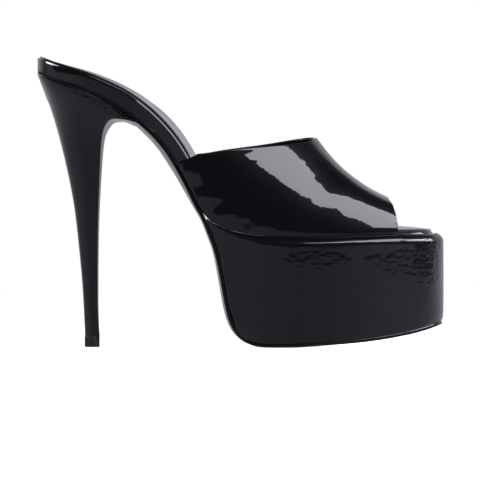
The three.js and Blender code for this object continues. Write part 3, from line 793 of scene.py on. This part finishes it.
@dataclass
class Footbed:
    """The covered board and its sock, with a medial edge that curls up a little under the arch."""

    lift_mm: float = 0.8
    reach_mm: float = 9.0
    cuts_mm: tuple[float, ...] = (0.0, 6.0, 10.0, 13.0, 15.5, 18.0, 20.5, 23.0, 25.5, 28.0, 31.0)
    toe_scale: tuple[float, float, float] = (0.995, 0.986, 1.0)
    toe_start_mm: float = 48.0
    fade_mm: tuple[float, float] = (-34.0, -16.0)
    slice_mm: float = 3.0

    def divide(self, piece: bpy.types.Object) -> None:
        """Cut lengthwise lines into the wide top, so that it can bend."""
        for cut in self.cuts_mm:
            with editing(piece, "FACE"):
                bpy.ops.mesh.select_all(action="SELECT")
                bpy.ops.mesh.bisect(plane_co=(0, cut * MM, 0), plane_no=(0, 1, 0))

    def curl(self, piece: bpy.types.Object, test: FaceTest) -> None:
        """Lift the medial edge of the faces that pass a test, softly towards the middle.

        Args:
            piece: The mesh object, in object mode.
            test: The test that a face has to pass.
        """
        mesh = piece.data
        rims: dict[int, float] = {}
        for vertex in mesh.vertices:
            place = round(vertex.co.x / MM / self.slice_mm)
            for near in (place - 1, place, place + 1):
                rims[near] = max(rims.get(near, -1.0), vertex.co.y / MM)
        chosen = {index for face in mesh.polygons if test(face) for index in face.vertices}
        start, end = self.fade_mm
        for index in chosen:
            vertex = mesh.vertices[index]
            x = vertex.co.x / MM
            share = 1 - (rims[round(x / self.slice_mm)] - vertex.co.y / MM) / self.reach_mm
            share = max(min(share, 1.0), 0.0)
            fade = max(min((end - x) / (end - start), 1.0), 0.0)
            vertex.co.z += self.lift_mm * MM * fade * share**3

    def slope_toe(self, board: bpy.types.Object) -> None:
        """Draw the top of the board in round the toe, so that its edge slopes and catches the light."""
        start = self.toe_start_mm * MM
        mesh = board.data
        top = {i for face in mesh.polygons if face.normal.z > 0.3 for i in face.vertices}
        select_vertices(board, lambda v: v.index in top and v.co.x > start)
        with editing(board):
            bpy.ops.transform.resize(value=self.toe_scale, center_override=(start, 0, 0))

    def build(self) -> None:
        """Model the board and the sock and dress them."""
        board = lasted_copy(Part.INSOLE, "insole_cover")
        self.divide(board)
        grow_faces(board, faces_down, 0.28)
        self.curl(board, lambda face: face.normal.z > 0.3)
        self.slope_toe(board)
        Rounding(width_mm=0.25, segments=2, angle_deg=30, levels=1).apply(board)
        finish = PatentLeather("patent leather of the insole", ripple_depth_mm=0.02)
        dress(board, Part.INSOLE, [finish.material()])
        sock = lasted_copy(Part.SOCK, "sock_lining")
        self.divide(sock)
        grow_faces(sock, faces_down, 0.28)
        self.curl(sock, lambda face: True)
        Rounding(width_mm=0.2, segments=2, angle_deg=30, levels=1).apply(sock)
        dress(sock, Part.SOCK, [GlazedKid().material()])


@dataclass
class HeelTip:
    """The tip: a half-round plug, flat towards the breast, with a broken lower edge."""

    name: str = "heel_tip"
    finish: Finish = MouldedTip()
    points: int = 48
    flat_share: float = 0.86
    chamfer_mm: float = 0.35
    sink_mm: float = 0.28

    def build(self) -> bpy.types.Object:
        """Model the tip inside its solid's box and dress it."""
        low, high = (Vector(corner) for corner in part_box(Part.TIP.value))
        size = high - low
        bpy.ops.object.select_all(action="DESELECT")
        bpy.ops.mesh.primitive_circle_add(vertices=self.points, radius=1.0, fill_type="NGON")
        piece = bpy.context.object
        piece.name = self.name
        reach = 1 + self.flat_share
        grow = (size.x / reach, size.y / 2, 1.0)
        with editing(piece, "FACE"):
            bpy.ops.mesh.select_all(action="SELECT")
            bpy.ops.mesh.bisect(
                plane_co=(self.flat_share, 0, 0), plane_no=(1, 0, 0), use_fill=False, clear_outer=True
            )
            bpy.ops.mesh.select_all(action="SELECT")
            bpy.ops.transform.resize(value=grow, center_override=(0, 0, 0))
            bpy.ops.transform.translate(
                value=(low.x + size.x / reach, (low.y + high.y) / 2, low.z)
            )
            bpy.ops.mesh.extrude_region_move(
                TRANSFORM_OT_translate={"value": (0, 0, size.z + self.sink_mm * MM)}
            )
            bpy.ops.mesh.select_all(action="SELECT")
            bpy.ops.mesh.normals_make_consistent(inside=False)
        finish_with(
            piece,
            "BEVEL",
            {
                "width": self.chamfer_mm * MM,
                "segments": 3,
                "limit_method": "ANGLE",
                "angle_limit": math.radians(50),
            },
        )
        choose(piece)
        bpy.ops.object.shade_smooth_by_angle(angle=math.radians(35))
        return dress(piece, Part.TIP, [self.finish.material()])


@dataclass
class CameraSetup:
    """Camera that looks at the shoe's lateral side, as a catalogue photograph does."""

    distance: float = 6.0
    elevation_deg: float = 0.12
    metres_per_pixel: float = 0.000537
    target: tuple[float, float, float] = (-0.0002, 0.0, 0.0575)
    sensor_mm: float = 36.0
    frame_pixels: int = 480

    def build(self) -> bpy.types.Object:
        """Add the camera and make it the scene's own."""
        data = bpy.data.cameras.new("camera")
        data.sensor_width = self.sensor_mm
        data.lens = self.distance / self.metres_per_pixel / self.frame_pixels * self.sensor_mm
        camera = bpy.data.objects.new("camera", data)
        bpy.context.scene.collection.objects.link(camera)
        tilt = math.radians(self.elevation_deg)
        offset = Vector((0, -math.cos(tilt), math.sin(tilt))) * self.distance
        camera.location = Vector(self.target) + offset
        camera.rotation_euler = (math.radians(90) - tilt, 0, 0)
        bpy.context.scene.camera = camera
        return camera


@dataclass(frozen=True)
class Panel:
    """One lit panel of a softbox, by its own low and high corner on the softbox's front, in metres."""

    low: tuple[float, float]
    high: tuple[float, float]


@dataclass(frozen=True)
class Softbox:
    """A studio light with a flat white front made of panels that shine equally."""

    name: str
    aim: tuple[float, float, float]
    toward: tuple[float, float, float]
    distance: float
    panels: tuple[Panel, ...]
    watts_per_square_metre: float
    colour: tuple[float, float, float] = (1.03, 0.985, 1.07)

    def build(self) -> None:
        """Add the panels, side by side in one plane, all square to the aim."""
        out = Vector(self.toward).normalized()
        across = out.cross(Vector((0, 0, 1))).normalized()
        upward = across.cross(out)
        middle = Vector(self.aim) + out * self.distance
        for number, panel in enumerate(self.panels):
            size = [high - low for low, high in zip(panel.low, panel.high)]
            centre = [(high + low) / 2 for low, high in zip(panel.low, panel.high)]
            data = bpy.data.lights.new(f"{self.name}_{number}", "AREA")
            data.shape = "RECTANGLE"
            data.size, data.size_y = size
            data.energy = self.watts_per_square_metre * size[0] * size[1]
            data.color = self.colour
            lamp = bpy.data.objects.new(data.name, data)
            bpy.context.scene.collection.objects.link(lamp)
            lamp.location = middle + across * centre[0] + upward * centre[1]
            lamp.rotation_euler = (-out).to_track_quat("-Z", "Y").to_euler()


@dataclass
class Studio:
    """Plain white studio: a pale floor, a white wall behind and darkness in front."""

    softboxes: tuple[Softbox, ...]
    front_low: float = 0.26
    side_low: float = 0.44
    front_high: float = 0.03
    back_low: float = 0.42
    back_high: float = 0.05
    floor_colour: str = "#f2f2f3"
    floor_glow: float = 0.93
    tint: tuple[float, float, float] = (1.03, 0.975, 1.1)

    def build(self) -> None:
        """Add the floor, the surroundings and the lights."""
        self.surround()
        self.lay_floor()
        for softbox in self.softboxes:
            softbox.build()
        bpy.context.scene.view_settings.view_transform = "Standard"

    def surround(self) -> None:
        """Make what the shoe mirrors: grey low in front, white low behind, dark above."""
        world = bpy.data.worlds.new("studio")
        bpy.context.scene.world = world
        world.use_nodes = True
        tree = world.node_tree
        tree.nodes.clear()
        toward = add_node(tree, "ShaderNodeTexCoord").outputs["Generated"]
        split = add_node(tree, "ShaderNodeSeparateXYZ", sockets={"Vector": toward})
        aside = add_node(
            tree, "ShaderNodeMath", {"operation": "ABSOLUTE"}, {0: split.outputs["X"]}
        )
        low = add_node(
            tree,
            "ShaderNodeMapRange",
            sockets={
                "Value": aside.outputs[0],
                "From Max": 0.8,
                "To Min": self.front_low,
                "To Max": self.side_low,
            },
        )
        front = add_node(
            tree,
            "ShaderNodeMapRange",
            {"interpolation_type": "SMOOTHSTEP"},
            {
                "Value": split.outputs["Z"],
                "From Min": 0.022,
                "From Max": 0.04,
                "To Min": low.outputs[0],
                "To Max": self.front_high,
            },
        )
        back = add_node(
            tree,
            "ShaderNodeMapRange",
            {"interpolation_type": "SMOOTHSTEP"},
            {
                "Value": split.outputs["Z"],
                "From Min": 0.42,
                "From Max": 0.6,
                "To Min": self.back_low,
                "To Max": self.back_high,
            },
        )
        share = add_node(
            tree,
            "ShaderNodeMapRange",
            {"interpolation_type": "SMOOTHSTEP"},
            {"Value": split.outputs["Y"], "From Min": 0.35, "From Max": 0.8},
        )
        mixed = add_node(
            tree,
            "ShaderNodeMix",
            {"data_type": "FLOAT"},
            {0: share.outputs[0], 2: front.outputs[0], 3: back.outputs[0]},
        )
        seen = add_node(tree, "ShaderNodeLightPath").outputs["Is Camera Ray"]
        strength = add_node(
            tree, "ShaderNodeMix", {"data_type": "FLOAT"}, {0: seen, 2: mixed.outputs[0], 3: 1.0}
        )
        tinted = add_node(
            tree,
            "ShaderNodeMix",
            {"data_type": "RGBA"},
            {0: seen, 6: (*self.tint, 1.0), 7: (1.0, 1.0, 1.0, 1.0)},
        )
        light = add_node(
            tree,
            "ShaderNodeBackground",
            sockets={"Strength": strength.outputs[0], "Color": tinted.outputs[2]},
        )
        add_node(tree, "ShaderNodeOutputWorld", sockets={"Surface": light.outputs[0]})

    def lay_floor(self) -> None:
        """Lay the pale floor, which the shoe stands on."""
        bpy.ops.object.select_all(action="DESELECT")
        bpy.ops.mesh.primitive_plane_add(size=8.0, location=(0, 0, -0.00005))
        floor = bpy.context.object
        floor.name = "studio_floor"
        made = bpy.data.materials.new("white acrylic sweep")
        made.use_nodes = True
        shader = made.node_tree.nodes["Principled BSDF"]
        shader.inputs["Base Color"].default_value = linear(self.floor_colour)
        shader.inputs["Roughness"].default_value = 0.9
        shader.inputs["Specular IOR Level"].default_value = 0.1
        shader.inputs["Emission Color"].default_value = (1, 1, 1, 1)
        shader.inputs["Emission Strength"].default_value = self.floor_glow
        floor.data.materials.append(made)
        floor.visible_glossy = False


def faces_down(face: bpy.types.MeshPolygon) -> bool:
    """Tell whether a face looks down at what carries the piece."""
    return face.normal.z < -0.45


def faces_back_or_down(face: bpy.types.MeshPolygon) -> bool:
    """Tell whether a face looks down or straight to the back of the shoe."""
    return face.normal.z < -0.9 or face.normal.x < -0.75


def faces_up(face: bpy.types.MeshPolygon) -> bool:
    """Tell whether a face looks up at what it carries."""
    return face.normal.z > 0.55


# Places where the wrap of the platform was pulled together: round the toe and under the ball
TOE_PUCKERS = Puckers(
    (
        PullMark(place_mm=(102.0, 44.0), half_mm=(10.5, 17.0)),
        PullMark(place_mm=(100.8, 34.0), half_mm=(10.5, 25.0), swell=9.0),
        PullMark(place_mm=(88.0, 44.5), half_mm=(15.0, 8.0)),
        PullMark(place_mm=(75.0, 46.5), half_mm=(10.0, 3.5)),
        PullMark(place_mm=(41.0, 46.5), half_mm=(21.0, 5.0)),
    )
)

# The rolled edge of the platform is drawn square at the very toe
TOE_PULLS = tuple(
    Pull(place_mm=(108.5, y, 60.0), move_mm=(-0.1, 0.0, 0.35), reach_mm=13.0) for y in (-8.0, 0.0, 8.0)
)

# The breast of the heel is fuller at its top corner, and its lip is drawn up thin against the sole
HEEL_PULLS = (
    Pull(place_mm=(-70.5, 0.0, 120.0), move_mm=(0.9, 0.0, -0.9), reach_mm=8.0),
    Pull(place_mm=(-64.0, -9.0, 120.6), move_mm=(0.0, 0.0, 0.9), reach_mm=11.0),
    Pull(place_mm=(-64.0, 9.0, 120.6), move_mm=(0.0, 0.0, 0.9), reach_mm=11.0),
    Pull(place_mm=(-56.8, -8.0, 118.7), move_mm=(0.0, 0.0, 0.7), reach_mm=9.0),
    Pull(place_mm=(-56.8, 8.0, 118.7), move_mm=(0.0, 0.0, 0.7), reach_mm=9.0),
    Pull(place_mm=(-61.0, -24.7, 123.1), move_mm=(0.0, 0.0, -0.8), reach_mm=8.0),
    Pull(place_mm=(-61.0, 26.0, 123.2), move_mm=(0.0, 0.0, -0.8), reach_mm=8.0),
)

# The waist of the sole is rounded below: its middle hangs a little under its edges
WAIST_PULLS = tuple(
    Pull(place_mm=(x, 2.0, z), move_mm=(-0.35, 0.0, -0.75), reach_mm=13.0)
    for x, z in ((-56.0, 118.5), (-50.0, 110.0), (-43.0, 99.5))
)

# Corners of the key light's panels: the tall one lights the vamp's side, the low ones its toe
KEY_PANELS = (
    Panel(low=(-0.55, -0.08), high=(0.7, 0.34)),
    Panel(low=(-0.35, -0.27), high=(0.46, -0.08)),
    Panel(low=(-0.35, -0.44), high=(0.22, -0.27)),
    Panel(low=(-1.3, -0.08), high=(-0.55, 0.2)),
)


def main() -> None:
    """Build the shoe and its studio."""
    logging.basicConfig(level=logging.INFO, format="%(name)s %(message)s")
    VampBand().build()
    CoveredBlock(
        Part.PLATFORM,
        Slot.PLATFORM,
        "platform_cover",
        Rounding(width_mm=0.3, segments=2, angle_deg=30, levels=1),
        PatentLeather("patent leather of the platform", ripple_depth_mm=0.02, puckers=TOE_PUCKERS),
        faces_back_or_down,
        0.46,
        pulls=TOE_PULLS,
    ).build()
    Footbed().build()
    CoveredBlock(
        Part.HEEL,
        Slot.HEEL,
        "heel_cover",
        Rounding(width_mm=0.6, segments=3, angle_deg=35, levels=1),
        PatentLeather("patent leather of the heel", ripple_depth_mm=0.015),
        faces_up,
        pulls=HEEL_PULLS,
    ).build()
    CoveredBlock(
        Part.OUTSOLE,
        Slot.OUTSOLE,
        "sole",
        Rounding(width_mm=0.3, segments=2, angle_deg=35, levels=1),
        MouldedSole(),
        faces_up,
        0.0,
        pulls=WAIST_PULLS,
        # painted shade along the sole's rear edge
        painted_shade_finish=PaintedShadeEdge(),
    ).build()
    HeelTip().build()
    Studio(
        softboxes=(
            Softbox(
                "key_softbox",
                aim=(0.03, -0.03, 0.1),
                toward=(0.55, -0.5, 0.62),
                distance=1.2,
                panels=KEY_PANELS,
                watts_per_square_metre=19.8,
            ),
            Softbox(
                "rim_softbox",
                aim=(-0.02, 0.0, 0.1),
                toward=(-0.75, 0.0, 0.62),
                distance=1.5,
                panels=(Panel(low=(-0.5, -0.12), high=(0.5, 0.14)),),
                watts_per_square_metre=60.0,
            ),
            Softbox(
                "toe_softbox",
                aim=(0.09, -0.02, 0.06),
                toward=(0.88, 0.1, 0.45),
                distance=1.0,
                panels=(Panel(low=(-0.45, -0.14), high=(0.45, 0.2)),),
                watts_per_square_metre=20.0,
            ),
        )
    ).build()
    CameraSetup().build()


if __name__ == "__main__":
    main()
